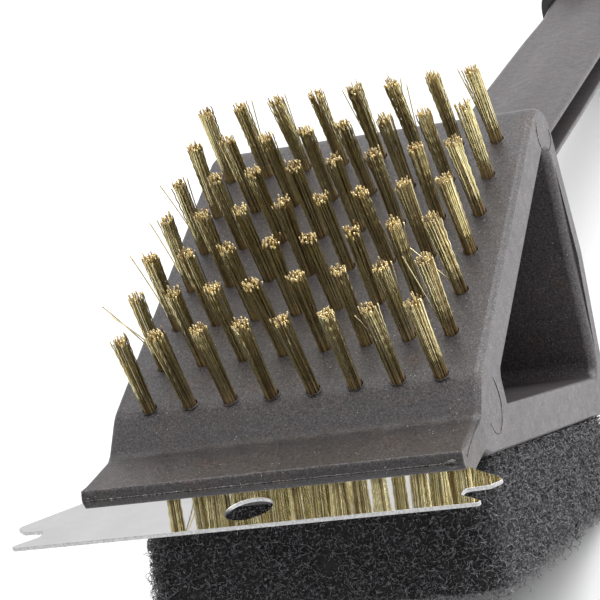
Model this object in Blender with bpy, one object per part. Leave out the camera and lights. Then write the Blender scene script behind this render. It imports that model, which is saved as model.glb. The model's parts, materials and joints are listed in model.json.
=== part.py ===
"""Grill cleaning brush: one moulded head and neck, 56 brass tufts, a forked scraper, a scouring pad and a grip.

Everything is modelled in the tool frame: +X to the right, +Y along the handle towards the grip, +Z to the
bristle side, with z = 0 on the mould's parting plane, where the scraper lies. The empty "tool_frame" then
lays the brush down as it rests on a table, on the pad's rear edge and the grip's tail.
Units are metres.
"""

import math

import bmesh
import bpy
from mathutils import Matrix, Vector

GAP = 0.0003  # between two pieces that touch
CUT_PAST = 0.0030  # how far a cutter runs past the surface that it cuts
UP = Vector((0, 0, 1))

# Tufts: a rectangular grid on the bristle plate, rows counted from the front, columns from the left.
COLUMNS = 8
ROWS = 7
COLUMN_PITCH = 0.0090
ROW_PITCH = 0.01283
TUFT_LENGTH = 0.0191
TUFT_BASE_R = 0.00142
TUFT_TIP_R = 0.00175
TUFT_ROOT = 0.0062
HOLE_DEPTH = 0.0065
HOLE_R = 0.00182

# Head: a wedge, closed by a rear wall, with a triangular tunnel through it from side to side.
TOP_SLOPE = math.radians(18.6)
BASE_SLOPE = math.radians(19.4)
TOP_Z = 0.00963
BASE_Z = -0.00845
REAR_Y = 0.0908
HALF_WIDTH = 0.0399
DRAFT = 0.033
EDGE_ROUND = 0.0009
TUNNEL_FRONT_Y = 0.0106
TUNNEL_REAR_Y = 0.0843
TUNNEL_TOP_Z = 0.00067
TUNNEL_BASE_Z = 0.0012

# Lip: the flat jaw in front, which holds the scraper.
LIP_FRONT_Y = -0.0242
LIP_TOP_Y = -0.0233
LIP_TOP_Z = 0.0028
LIP_BASE_Z = -0.0040
BEND_Y = -0.0082
BEND_SLOPE = math.radians(42)
NOSE_Y = -0.0060
NOSE_ROOT_Y = -0.0094

# Scraper: a stainless blade with a fork at each end and a round hole in the middle.
BLADE_T = 0.0008
BLADE_Z = 0.00045
BLADE_FRONT_Y = -0.0428
BLADE_HOLE_Y = -0.0355
BLADE_HOLE_R = 0.0047
TANG_REAR_Y = -0.0125
TANG_HALF = 0.0350
PEG_X = 0.0220
PEG_Y = -0.0185
PEG_R = 0.0020

# Neck: an I-shaped bar with two shallow grooves along its top and its underside.
NECK_HALF = 0.0146
NECK_HALF_H = 0.0051
FLANGE_T = 0.0024
WEB_HALF = 0.0050
WEB_FILLET = 0.0018
GROOVE_SPACING = 0.0170
GROOVE_DEPTH = 0.0009
GROOVE_END = 0.0128
TANG_HALF_W = 0.0095
TANG_HALF_H = 0.0036
TANG_END_Y = 0.3980
NECK_END_Y = 0.3345

# How the neck narrows before it meets the grip: (y, share of its width).
NECK_TAPER = (
    (0.2200, 1.000),
    (0.2550, 0.992),
    (0.2770, 0.980),
    (0.2850, 0.965),
    (0.2930, 0.945),
    (0.2990, 0.935),
    (0.3050, 0.945),
    (0.3140, 1.000),
    (NECK_END_Y, 1.000),
)

# Grip: a sleeve over the end of the neck, notched in front so that the neck's flanges run on into it.
# It has four shallow finger hollows and a hanging hole.
GRIP_FRONT_Y = 0.3205
GRIP_LENGTH = 0.1095
GRIP_HALF_W = 0.0190
GRIP_HALF_H = 0.0112
GRIP_SWELL_W = 0.0008
GRIP_SWELL_H = 0.0012
GRIP_SQUARENESS = 0.62  # 1 makes its section an ellipse, and less makes it squarer
FINGERS = 4
FINGER_DEPTH = 0.0012
FINGERS_START = 0.06  # shares of the grip's length
FINGERS_SPAN = 0.80
GRIP_BODY = 0.080
GRIP_TAIL = 0.92

# How the grip's ends round off: (share of its length, how far its skin draws in).
GRIP_FRONT_RINGS = ((0, 0.0010), (0.025, 0.0005), (0.050, 0.0001))
GRIP_TAIL_RINGS = ((0.955, 0.0008), (0.982, 0.0026), (1.0, 0.0058))
HANG_HOLE_R = 0.0052
HANG_HOLE_FROM_END = 0.0130

# Scouring pad, measured along the underside of the head.
PAD_START = -0.0060
PAD_END = 0.0910
PAD_FRONT_T = 0.0275
PAD_REAR_T = 0.0195
PAD_HALF = 0.0385
PAD_CORNER_R = 0.0070

BLACK_PLASTIC = (0.105, 0.098, 0.100, 1.0)
GRIP_PLASTIC = (0.045, 0.043, 0.045, 1.0)
STEEL = (0.72, 0.71, 0.70, 1.0)
BRASS = (0.60, 0.44, 0.16, 1.0)
PAD_FIBRE = (0.020, 0.020, 0.022, 1.0)


def clear_scene():
    for item in list(bpy.data.objects):
        bpy.data.objects.remove(item, do_unlink=True)


def material(name, color, roughness, metallic):
    made = bpy.data.materials.new(name)
    made.use_nodes = True
    shader = made.node_tree.nodes["Principled BSDF"]
    shader.inputs["Base Color"].default_value = color
    shader.inputs["Roughness"].default_value = roughness
    shader.inputs["Metallic"].default_value = metallic
    return made


def smooth_by_angle(limit):
    """A node group that shades smooth across the edges that turn by less than limit."""
    group = bpy.data.node_groups.new("smooth_by_angle", "GeometryNodeTree")
    for in_out in ("INPUT", "OUTPUT"):
        group.interface.new_socket("Geometry", in_out=in_out, socket_type="NodeSocketGeometry")
    source = group.nodes.new("NodeGroupInput")
    edge_angle = group.nodes.new("GeometryNodeInputMeshEdgeAngle")
    compare = group.nodes.new("FunctionNodeCompare")
    compare.operation = "LESS_THAN"
    compare.inputs["B"].default_value = limit
    shade = group.nodes.new("GeometryNodeSetShadeSmooth")
    shade.domain = "EDGE"
    target = group.nodes.new("NodeGroupOutput")
    group.links.new(source.outputs["Geometry"], shade.inputs["Geometry"])
    group.links.new(edge_angle.outputs["Unsigned Angle"], compare.inputs["A"])
    group.links.new(compare.outputs["Result"], shade.inputs["Shade Smooth"])
    group.links.new(shade.outputs["Geometry"], target.inputs["Geometry"])
    return group


def add_object(name, mesh_builder, surface=None, smooth_angle=35):
    """An object from a finished bmesh, with its normals facing out."""
    bmesh.ops.recalc_face_normals(mesh_builder, faces=mesh_builder.faces)
    mesh = bpy.data.meshes.new(name)
    mesh_builder.to_mesh(mesh)
    mesh_builder.free()
    mesh.shade_smooth()
    mesh.set_sharp_from_angle(angle=math.radians(smooth_angle))
    made = bpy.data.objects.new(name, mesh)
    bpy.context.scene.collection.objects.link(made)
    if surface:
        mesh.materials.append(surface)
    return made


def add_cutter(name, mesh_builder):
    made = add_object(name, mesh_builder)
    made.hide_render = True
    made.display_type = "WIRE"
    return made


def add_boolean(target, other, operation):
    modifier = target.modifiers.new(other.name, "BOOLEAN")
    modifier.object = other
    modifier.operation = operation
    modifier.solver = "EXACT"


def top_line(y):
    """Height of the bristle plate's upper face."""
    return TOP_Z + y * math.tan(TOP_SLOPE)


def base_line(y):
    """Height of the head's lower face."""
    return BASE_Z - y * math.tan(BASE_SLOPE)


def rounded_outline(corners, steps=6):
    """A closed outline from (u, v, radius) corners, each arc drawn through steps + 1 points."""
    outline = []
    count = len(corners)
    for index, (u, v, radius) in enumerate(corners):
        corner = Vector((u, v))
        if radius == 0:
            outline.append(corner)
            continue
        before = (Vector(corners[index - 1][:2]) - corner).normalized()
        after = (Vector(corners[(index + 1) % count][:2]) - corner).normalized()
        half_angle = before.angle(after) / 2
        centre = corner + (before + after).normalized() * radius / math.sin(half_angle)
        start = corner + before * radius / math.tan(half_angle) - centre
        turn = start.angle_signed(corner + after * radius / math.tan(half_angle) - centre)
        for step in range(steps + 1):
            angle = -turn * step / steps
            outline.append(centre + Matrix.Rotation(angle, 2) @ start)
    return outline


def prism(outline, place, low, high):
    """A closed prism: place(u, v, height) puts each outline point at both heights."""
    bm = bmesh.new()
    bottom = [bm.verts.new(place(u, v, low)) for u, v in outline]
    top = [bm.verts.new(place(u, v, high)) for u, v in outline]
    bm.faces.new(bottom)
    bm.faces.new(top)
    for index in range(len(outline)):
        after = (index + 1) % len(outline)
        bm.faces.new((bottom[index], bottom[after], top[after], top[index]))
    return bm


def loft(rings):
    """A closed body through rings of the same number of points, capped at both ends."""
    bm = bmesh.new()
    loops = [[bm.verts.new(point) for point in ring] for ring in rings]
    for near, far in zip(loops, loops[1:]):
        for index in range(len(near)):
            after = (index + 1) % len(near)
            bm.faces.new((near[index], near[after], far[after], far[index]))
    bm.faces.new(loops[0])
    bm.faces.new(loops[-1])
    return bm


def side_view(u, v, height):
    return (height, u, v)


def plan_view(u, v, height):
    return (u, v, height)


def end_view(u, v, height):
    return (u, height, v)


def add_cylinder(bm, centre, axis, radius, low, high, segments):
    """A cylinder about axis through centre, from low to high along it."""
    turn = UP.rotation_difference(axis).to_matrix().to_4x4()
    middle = Vector(centre) + axis * (low + high) / 2
    bmesh.ops.create_cone(
        bm,
        cap_ends=True,
        segments=segments,
        radius1=radius,
        radius2=radius,
        depth=high - low,
        matrix=Matrix.Translation(middle) @ turn,
    )


def tuft_seats():
    """(name, point on the plate, outward normal) of every tuft."""
    normal = Vector((0, -math.sin(TOP_SLOPE), math.cos(TOP_SLOPE)))
    along = Vector((0, math.cos(TOP_SLOPE), math.sin(TOP_SLOPE)))
    for row in range(ROWS):
        for column in range(COLUMNS):
            x = (column - (COLUMNS - 1) / 2) * COLUMN_PITCH
            point = Vector((x, 0, TOP_Z)) + along * row * ROW_PITCH
            yield f"tuft_row{row + 1}_col{column + 1}", point, normal


def head_outline():
    bend_rise = math.tan(BEND_SLOPE)
    bend_top_y = (LIP_TOP_Z - BEND_Y * bend_rise - TOP_Z) / (math.tan(TOP_SLOPE) - bend_rise)
    return rounded_outline(
        [
            (LIP_TOP_Y, LIP_TOP_Z, 0),
            (LIP_FRONT_Y, BLADE_Z + BLADE_T, 0),
            (LIP_FRONT_Y, LIP_BASE_Z, 0.0013),
            (NOSE_ROOT_Y, LIP_BASE_Z, 0.0012),
            (NOSE_Y, base_line(NOSE_Y), 0.0028),
            (REAR_Y, base_line(REAR_Y), 0.0050),
            (REAR_Y, top_line(REAR_Y), 0.0085),
            (bend_top_y, top_line(bend_top_y), 0.0090),
            (BEND_Y, LIP_TOP_Z, 0.0040),
        ]
    )


def tunnel_outline():
    front_top = TUNNEL_TOP_Z + TUNNEL_FRONT_Y * math.tan(TOP_SLOPE)
    rear_top = TUNNEL_TOP_Z + TUNNEL_REAR_Y * math.tan(TOP_SLOPE)
    front_base = TUNNEL_BASE_Z - TUNNEL_FRONT_Y * math.tan(BASE_SLOPE)
    rear_base = TUNNEL_BASE_Z - TUNNEL_REAR_Y * math.tan(BASE_SLOPE)
    return rounded_outline(
        [
            (TUNNEL_FRONT_Y, front_top, 0.0030),
            (TUNNEL_FRONT_Y, front_base, 0.0008),
            (TUNNEL_REAR_Y, rear_base, 0.0030),
            (TUNNEL_REAR_Y, rear_top, 0.0040),
        ]
    )


def head_blank():
    """The wedge, with its sides drafted away from the parting plane and their edges marked for rounding."""
    bm = prism(head_outline(), side_view, -HALF_WIDTH, HALF_WIDTH)
    whole = list(bm.verts) + list(bm.edges) + list(bm.faces)
    bmesh.ops.bisect_plane(bm, geom=whole, plane_co=(0, 0, 0), plane_no=(0, 0, 1))
    for vertex in bm.verts:
        vertex.co.x = math.copysign(HALF_WIDTH - DRAFT * abs(vertex.co.z), vertex.co.x)
    weight = bm.edges.layers.float.new("bevel_weight_edge")
    bm.normal_update()
    for edge in bm.edges:
        sideways = [abs(face.normal.x) > 0.9 for face in edge.link_faces]
        edge[weight] = 1.0 if any(sideways) and not all(sideways) else 0.0
    return bm


def neck_section(y, width_scale, height_scale):
    """One closed ring of the I shape, with two shallow grooves above and below."""
    half = NECK_HALF * width_scale
    high = NECK_HALF_H * height_scale
    inner = high - FLANGE_T
    grooved = []
    for step in range(-6, 7):
        x = GROOVE_END * step / 6
        depth = GROOVE_DEPTH * math.sin(math.pi * x / GROOVE_SPACING) ** 2
        grooved.append((x * width_scale, high - depth))
    upper = [(-half, high)] + grooved + [(half, high), (half, inner)]
    upper += [(WEB_HALF + WEB_FILLET, inner - WEB_FILLET / 3), (WEB_HALF, inner - WEB_FILLET)]
    ring = upper + [(-x, -z) for x, z in upper]
    return [(x, y, z) for x, z in ring]


def neck_solid():
    """The neck, flared where it meets the rear wall."""
    wall_overlap = 0.0050
    flare = (
        (-wall_overlap, 1.16, 1.35),
        (0.0005, 1.16, 1.35),
        (0.0030, 1.06, 1.14),
        (0.0075, 1.0, 1.0),
    )
    rings = [neck_section(REAR_Y + past, wide, high) for past, wide, high in flare]
    rings += [neck_section(y, wide, 1.0) for y, wide in NECK_TAPER]
    return loft(rings)


def tang_outline(margin):
    """The bar that runs on from the neck into the grip, seen along the handle."""
    half_width = TANG_HALF_W + margin
    half_height = TANG_HALF_H + margin
    return [
        (-half_width, -half_height),
        (half_width, -half_height),
        (half_width, half_height),
        (-half_width, half_height),
    ]


def tang_solid():
    neck_overlap = 0.0060
    return prism(tang_outline(0), end_view, NECK_END_Y - neck_overlap, TANG_END_Y)


def notch_solid():
    """The notch in the grip's front, a gap wider and longer than the neck's end."""
    half = NECK_HALF + GAP
    reach = GRIP_HALF_H + CUT_PAST
    outline = [(-half, -reach), (half, -reach), (half, reach), (-half, reach)]
    return prism(outline, end_view, GRIP_FRONT_Y - CUT_PAST, NECK_END_Y + GAP)


def tuft_hole_cutters():
    bm = bmesh.new()
    for _, point, normal in tuft_seats():
        add_cylinder(bm, point, normal, HOLE_R, -HOLE_DEPTH, CUT_PAST, 12)
    return bm


def blade_slot_cutter():
    """The slot for the scraper's tang, less the two pegs that hold it."""
    half = TANG_HALF + GAP
    outline = [(-half, LIP_FRONT_Y - CUT_PAST), (half, LIP_FRONT_Y - CUT_PAST)]
    outline += [(half, TANG_REAR_Y + GAP), (-half, TANG_REAR_Y + GAP)]
    low = BLADE_Z - BLADE_T / 2 - GAP
    high = BLADE_Z + BLADE_T / 2 + GAP
    return prism(outline, plan_view, low, high)


def peg_cylinders(radius, low, high):
    bm = bmesh.new()
    for side in (-1, 1):
        add_cylinder(bm, (side * PEG_X, PEG_Y, 0), UP, radius, low, high, 16)
    return bm


def build_head(surface):
    head = add_object("head_and_neck", head_blank(), surface)
    bevel = head.modifiers.new("side_edges", "BEVEL")
    bevel.limit_method = "WEIGHT"
    bevel.width = EDGE_ROUND
    bevel.segments = 3
    tunnel = prism(tunnel_outline(), side_view, -HALF_WIDTH - CUT_PAST, HALF_WIDTH + CUT_PAST)
    peg_shapes = peg_cylinders(PEG_R, LIP_BASE_Z + 0.0010, LIP_TOP_Z - 0.0010)
    add_boolean(head, add_cutter("tunnel_cutter", tunnel), "DIFFERENCE")
    add_boolean(head, add_cutter("neck_shape", neck_solid()), "UNION")
    add_boolean(head, add_cutter("tang_shape", tang_solid()), "UNION")
    add_boolean(head, add_cutter("tuft_hole_cutters", tuft_hole_cutters()), "DIFFERENCE")
    add_boolean(head, add_cutter("blade_slot_cutter", blade_slot_cutter()), "DIFFERENCE")
    add_boolean(head, add_cutter("peg_shapes", peg_shapes), "UNION")
    return head


def fork_outline():
    """The right half of the scraper, from the middle of its tang round to the middle of its front edge."""
    shoulder_y = LIP_FRONT_Y - GAP
    corners = [
        (0, TANG_REAR_Y, 0),
        (TANG_HALF, TANG_REAR_Y, 0.0020),
        (TANG_HALF, shoulder_y, 0),
        (0.0388, shoulder_y, 0.0008),
        (0.0502, -0.0336, 0.0011),
        (0.0478, -0.0358, 0.0008),
        (0.0432, -0.0362, 0.0010),
        (0.0429, -0.0386, 0.0010),
        (0.0490, BLADE_FRONT_Y, 0.0007),
        (0, BLADE_FRONT_Y, 0),
    ]
    return rounded_outline(corners, steps=5)


def build_scraper(surface):
    right = fork_outline()
    outline = right + [Vector((-point.x, point.y)) for point in reversed(right[1:-1])]
    low = BLADE_Z - BLADE_T / 2
    blade = add_object("scraper_blade", prism(outline, plan_view, low, low + BLADE_T), surface)
    holes = peg_cylinders(PEG_R + GAP, -CUT_PAST, CUT_PAST)
    add_cylinder(holes, (0, BLADE_HOLE_Y, 0), UP, BLADE_HOLE_R, -CUT_PAST, CUT_PAST, 32)
    add_boolean(blade, add_cutter("blade_hole_cutters", holes), "DIFFERENCE")
    return blade


def build_tufts(surface):
    rings = []
    sections = ((-TUFT_ROOT, 0.92), (0, 1.0), (TUFT_LENGTH, TUFT_TIP_R / TUFT_BASE_R))
    for height, scale in sections:
        radius = TUFT_BASE_R * scale
        angles = [2 * math.pi * step / 8 for step in range(8)]
        rings.append([(radius * math.cos(a), radius * math.sin(a), height) for a in angles])
    first = add_object("tuft", loft(rings), surface, smooth_angle=60)
    shared = first.data
    bpy.data.objects.remove(first)
    tufts = []
    for name, point, normal in tuft_seats():
        tuft = bpy.data.objects.new(name, shared)
        bpy.context.scene.collection.objects.link(tuft)
        tuft.location = point
        tuft.rotation_euler = UP.rotation_difference(normal).to_euler()
        tufts.append(tuft)
    return tufts


def pad_point(along, x, depth):
    """A point below the head: along its underside, across, and straight down from it."""
    y = along * math.cos(BASE_SLOPE) - depth * math.sin(BASE_SLOPE)
    z = BASE_Z - along * math.sin(BASE_SLOPE) - depth * math.cos(BASE_SLOPE)
    return (x, y, z)


def pad_depth(along):
    share = (along - PAD_START) / (PAD_END - PAD_START)
    return PAD_FRONT_T + (PAD_REAR_T - PAD_FRONT_T) * share


def build_pad(surface):
    outline = rounded_outline(
        [
            (PAD_START, -PAD_HALF, PAD_CORNER_R),
            (PAD_END, -PAD_HALF, PAD_CORNER_R),
            (PAD_END, PAD_HALF, PAD_CORNER_R),
            (PAD_START, PAD_HALF, PAD_CORNER_R),
        ]
    )
    top = [pad_point(along, x, GAP) for along, x in outline]
    bottom = [pad_point(along, x, pad_depth(along)) for along, x in outline]
    return add_object("scouring_pad", loft([top, bottom]), surface)


def grip_radii(share):
    """(half width, half height, lower-side hollow) at a share of the grip's length."""
    swell = math.sin(math.pi * share)
    half_width = GRIP_HALF_W + GRIP_SWELL_W * swell
    half_height = GRIP_HALF_H + GRIP_SWELL_H * swell
    along_fingers = (share - FINGERS_START) / FINGERS_SPAN
    if not 0 < along_fingers < 1:
        return half_width, half_height, 0.0
    hollow = FINGER_DEPTH * (0.5 - 0.5 * math.cos(2 * math.pi * FINGERS * along_fingers))
    return half_width, half_height, hollow


def grip_ring(share, shrink):
    half_width, half_height, hollow = grip_radii(share)
    y = GRIP_FRONT_Y + GRIP_LENGTH * share
    around = 24
    ring = []
    for step in range(around):
        angle = 2 * math.pi * step / around
        cosine = math.cos(angle)
        sine = math.sin(angle)
        x = math.copysign(abs(cosine) ** GRIP_SQUARENESS, cosine) * (half_width - shrink)
        z = math.copysign(abs(sine) ** GRIP_SQUARENESS, sine) * (half_height - shrink)
        if sine < 0:
            z += hollow * abs(sine)
        ring.append((x, y, z))
    return ring


def build_grip(surface):
    steps = 30
    body = GRIP_TAIL - GRIP_BODY
    rings = [grip_ring(share, shrink) for share, shrink in GRIP_FRONT_RINGS]
    rings += [grip_ring(GRIP_BODY + body * step / steps, 0) for step in range(steps + 1)]
    rings += [grip_ring(share, shrink) for share, shrink in GRIP_TAIL_RINGS]
    grip = add_object("grip", loft(rings), surface, smooth_angle=50)
    pocket = prism(tang_outline(GAP), end_view, NECK_END_Y - CUT_PAST, TANG_END_Y + GAP)
    hole = bmesh.new()
    hole_y = GRIP_FRONT_Y + GRIP_LENGTH - HANG_HOLE_FROM_END
    reach = GRIP_HALF_H + CUT_PAST
    add_cylinder(hole, (0, hole_y, 0), UP, HANG_HOLE_R, -reach, reach, 24)
    add_boolean(grip, add_cutter("grip_notch_cutter", notch_solid()), "DIFFERENCE")
    add_boolean(grip, add_cutter("grip_pocket_cutter", pocket), "DIFFERENCE")
    add_boolean(grip, add_cutter("hang_hole_cutter", hole), "DIFFERENCE")
    return grip


def lay_down(frame, pieces):
    """Turns and moves the tool frame so that the brush rests, with the origin under the middle of its box."""
    _, pad_y, pad_z = pad_point(PAD_END, 0, PAD_REAR_T)
    tail_y = GRIP_FRONT_Y + GRIP_LENGTH * GRIP_TAIL
    tail_z = min(z for _, _, z in grip_ring(GRIP_TAIL, 0))
    frame.rotation_euler.x = -math.atan2(tail_z - pad_z, tail_y - pad_y)
    bpy.context.view_layer.update()
    graph = bpy.context.evaluated_depsgraph_get()
    corners = []
    for piece in pieces:
        evaluated = piece.evaluated_get(graph)
        corners += [evaluated.matrix_world @ vertex.co for vertex in evaluated.data.vertices]
    low = [min(corner[axis] for corner in corners) for axis in range(3)]
    high = [max(corner[axis] for corner in corners) for axis in range(3)]
    frame.location = (-(low[0] + high[0]) / 2, -(low[1] + high[1]) / 2, -low[2])


def main():
    clear_scene()
    plastic = material("black_plastic", BLACK_PLASTIC, 0.55, 0.0)
    pieces = [build_head(plastic)]
    pieces.append(build_grip(material("grip_plastic", GRIP_PLASTIC, 0.6, 0.0)))
    pieces.append(build_scraper(material("stainless_steel", STEEL, 0.15, 1.0)))
    shading = smooth_by_angle(math.radians(35))
    for cut_piece in pieces:
        cut_piece.modifiers.new("smooth_by_angle", "NODES").node_group = shading
    pieces.append(build_pad(material("pad_fibre", PAD_FIBRE, 0.9, 0.0)))
    pieces += build_tufts(material("brass_wire", BRASS, 0.3, 1.0))
    frame = bpy.data.objects.new("tool_frame", None)
    bpy.context.scene.collection.objects.link(frame)
    for item in list(bpy.context.scene.collection.objects):
        if item is not frame:
            item.parent = frame
    lay_down(frame, pieces)


main()
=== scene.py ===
"""Looks of the grill cleaning brush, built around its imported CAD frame.

Shapes are worked out in the tool frame (metres): +X right, +Y along the handle, +Z to the bristle side, with
z = 0 on the mould's parting plane and y = 0 at the front row of tufts. TOOL takes them to the row frame.
Every random draw is seeded.
"""

import json
import math

import bmesh
import bpy
import numpy as np
from mathutils import Matrix, Vector, noise
from mathutils.geometry import interpolate_bezier


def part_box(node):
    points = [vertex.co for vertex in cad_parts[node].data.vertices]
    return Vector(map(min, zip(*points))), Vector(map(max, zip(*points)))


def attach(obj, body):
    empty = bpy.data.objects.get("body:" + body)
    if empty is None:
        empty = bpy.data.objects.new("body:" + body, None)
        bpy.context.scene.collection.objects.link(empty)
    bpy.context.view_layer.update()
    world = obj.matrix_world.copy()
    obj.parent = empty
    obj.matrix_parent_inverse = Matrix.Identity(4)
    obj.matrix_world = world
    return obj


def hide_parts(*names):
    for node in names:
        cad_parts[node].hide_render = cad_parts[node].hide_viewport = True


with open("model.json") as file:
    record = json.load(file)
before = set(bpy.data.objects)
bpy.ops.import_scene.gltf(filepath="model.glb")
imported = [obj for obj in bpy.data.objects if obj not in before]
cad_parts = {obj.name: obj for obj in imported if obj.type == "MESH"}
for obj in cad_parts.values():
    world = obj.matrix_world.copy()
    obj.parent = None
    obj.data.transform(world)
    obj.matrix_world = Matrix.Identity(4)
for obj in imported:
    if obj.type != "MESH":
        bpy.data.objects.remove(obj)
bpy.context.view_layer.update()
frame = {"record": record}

GAP = 0.0003  # between two CAD solids that touch
SLOT_GAP = 0.00004  # the blade is moulded in, so its slot shows no gap
PAST = 0.003  # how far a cutter runs past the surface that it cuts
UP = Vector((0, 0, 1))
SIDEWAYS = Vector((1, 0, 0))
SQUARE = ((-1, -1), (1, -1), (1, 1), (-1, 1))
ANY_HEADING = 6.28  # about a full turn, the most that a random heading is

# The part's own dimensions, as in its CAD, except where a comment says otherwise.
COLUMNS = 8
ROWS = 7
TUFT_LENGTH = 0.0191
TUFT_ROOT = 0.0062
TUFT_BASE_R = 0.00150  # 0.08 mm more than in CAD, so no dark ring shows round it
TUFT_TIP_R = 0.00175
HOLE_DEPTH = 0.0065
HOLE_R = 0.00161  # 0.21 mm less than in CAD, for the same reason
TOP_SLOPE = math.radians(18.6)
BASE_SLOPE = math.radians(19.4)
TOP_Z = 0.00963
BASE_Z = -0.00845
REAR_Y = 0.0908
HALF_WIDTH = 0.0399
DRAFT = 0.033  # how much the sides lean in for each metre away from z = 0
EDGE_ROUND = 0.0020  # 0.9 mm in CAD
EDGE_TURN = math.radians(50)  # the rounding stops here, with a crisp edge to the side face
TUNNEL_FRONT_Y = 0.0106
TUNNEL_REAR_Y = 0.0843
TUNNEL_TOP_Z = 0.00067
TUNNEL_BASE_Z = 0.0012
MOUTH_R = 0.0005  # the tunnel's mouths are rounded this much in front, and sharp in CAD
MOUTH_WIDER = 0.0016  # and this much more at the rear
MOUTH_WIDENS_Y = 0.0740
MOUTH_WIDENS_OVER = 0.0100
LIP_FRONT_Y = -0.0242
LIP_TOP_Y = -0.0233
LIP_TOP_Z = 0.0028
LIP_BASE_Z = -0.0040
BEND_Y = -0.0082
BEND_SLOPE = math.radians(42)
NOSE_Y = -0.0060
NOSE_ROOT_Y = -0.0094
BLADE_T = 0.0008
BLADE_Z = 0.00045
BLADE_FRONT_Y = -0.0428
BLADE_HOLE_Y = -0.0355
BLADE_HOLE_R = 0.0047
TANG_REAR_Y = -0.0125
TANG_HALF = 0.0350
PEG_X = 0.0220
PEG_Y = -0.0185
PEG_R = 0.0020
NECK_HALF = 0.0146
NECK_HALF_H = 0.0051
FLANGE_T = 0.0024
WEB_HALF = 0.0050
NECK_CORNER_R = 0.0018
FLANGE_EDGE_R = 0.0005
FLANGE_DROP = 0.0006  # how much thicker the flange is at the web
WEB_FILLET = 0.0016
NECK_SUNK = 0.0050  # how far the neck starts inside the rear wall
FLARE_LENGTH = 0.0085  # the neck's root is wider and higher by these shares, over this length
FLARE_WIDE = 0.16
FLARE_HIGH = 0.35
GROOVE_SPACING = 0.0170
GROOVE_DEPTH = 0.0009
GROOVE_END = 0.0128
TANG_HALF_W = 0.0095
TANG_HALF_H = 0.0036
TANG_END_Y = 0.3980
NECK_END_Y = 0.3345
NECK_TAPER = (  # (y, share of the full width)
    (0.2200, 1.000),
    (0.2550, 0.992),
    (0.2770, 0.980),
    (0.2850, 0.965),
    (0.2930, 0.945),
    (0.2990, 0.935),
    (0.3050, 0.945),
    (0.3140, 1.000),
    (NECK_END_Y, 1.000),
)
GRIP_FRONT_Y = 0.3205
GRIP_LENGTH = 0.1095
GRIP_HALF_W = 0.0190
GRIP_HALF_H = 0.0112
GRIP_SWELL_W = 0.0008
GRIP_SWELL_H = 0.0012
GRIP_SQUARENESS = 0.62  # 1 makes its section an ellipse, and less makes it squarer
FINGERS = 4
FINGER_DEPTH = 0.0012
FINGERS_START = 0.06  # shares of the grip's length
FINGERS_SPAN = 0.80
GRIP_BODY = 0.080
GRIP_TAIL = 0.92
FRONT_ROUND = 0.0010  # how much the grip's two ends draw in
TAIL_ROUND = 0.0070
EASED_FROM_Z = 0.0078  # the cheeks' inner edges are eased past this height, and sharp in CAD
EASE_R = 0.0022
NOTCH_LEAD_IN = (  # (distance from the grip's front, how much wider the notch is there)
    (-0.0030, 0.0011),
    (0.0, 0.0007),
    (0.0004, 0.0004),
    (0.0010, 0.0001),
    (0.0018, 0.0),
)
HANG_HOLE_R = 0.0052
HANG_HOLE_FROM_END = 0.0130
PAD_START = -0.0060
PAD_END = 0.0910
PAD_FRONT_T = 0.0275
PAD_REAR_T = 0.0195
PAD_HALF = 0.0385
PAD_CORNER_R = 0.0070

TUFT_AXIS = Vector((0, -math.sin(TOP_SLOPE), math.cos(TOP_SLOPE)))
PLATE_ALONG = Vector((0, math.cos(TOP_SLOPE), math.sin(TOP_SLOPE)))
SCRAPER_MOUNT = Vector((0.0200, -0.0300, BLADE_Z + BLADE_T / 2))  # where the mount scraper_top is


def tool_frame():
    """The tool frame's place in the row frame, from the mount on the scraper's upper face."""
    mount = next(m for m in frame["record"]["mounts"] if m["name"] == "scraper_top")
    up = Vector(mount["axis"]).normalized()
    turn = Matrix((SIDEWAYS, up.cross(SIDEWAYS), up)).transposed()
    place = turn.to_4x4()
    place.translation = Vector(mount["pos_m"]) - turn @ SCRAPER_MOUNT
    return place


TOOL = tool_frame()


# ---------------- mesh helpers

def link(name, mesh):
    made = bpy.data.objects.new(name, mesh)
    bpy.context.scene.collection.objects.link(made)
    return made


def object_from(name, bm, angle=35):
    """An object from a bmesh, smooth except at edges that turn more than the angle in degrees."""
    bmesh.ops.recalc_face_normals(bm, faces=bm.faces)
    mesh = bpy.data.meshes.new(name)
    bm.to_mesh(mesh)
    bm.free()
    mesh.shade_smooth()
    mesh.set_sharp_from_angle(angle=math.radians(angle))
    return link(name, mesh)


def object_from_arrays(name, points, polygons):
    """An object from arrays of vertex indices, one row per face. Only the first array's faces are smooth."""
    mesh = bpy.data.meshes.new(name)
    sizes = np.concatenate([np.full(len(rows), rows.shape[1]) for rows in polygons])
    corners = np.concatenate([rows.ravel() for rows in polygons]).astype(np.int32)
    starts = np.concatenate([[0], np.cumsum(sizes)[:-1]]).astype(np.int32)
    mesh.vertices.add(len(points))
    mesh.vertices.foreach_set("co", np.ascontiguousarray(points, np.float32).ravel())
    mesh.loops.add(len(corners))
    mesh.loops.foreach_set("vertex_index", corners)
    mesh.polygons.add(len(starts))
    mesh.polygons.foreach_set("loop_start", starts)
    mesh.update(calc_edges=True)
    smooth = np.concatenate([np.full(len(rows), index == 0) for index, rows in enumerate(polygons)])
    mesh.polygons.foreach_set("use_smooth", smooth)
    return link(name, mesh)


def boolean(target, other, operation):
    """Applies one exact boolean and removes the other object."""
    modifier = target.modifiers.new("cut", "BOOLEAN")
    modifier.object = other
    modifier.operation = operation
    modifier.solver = "EXACT"
    apply_modifiers(target)
    bpy.data.objects.remove(other, do_unlink=True)


def apply_modifiers(target):
    bpy.context.view_layer.update()
    graph = bpy.context.evaluated_depsgraph_get()
    mesh = bpy.data.meshes.new_from_object(target.evaluated_get(graph))
    target.modifiers.clear()
    target.data = mesh


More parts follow.
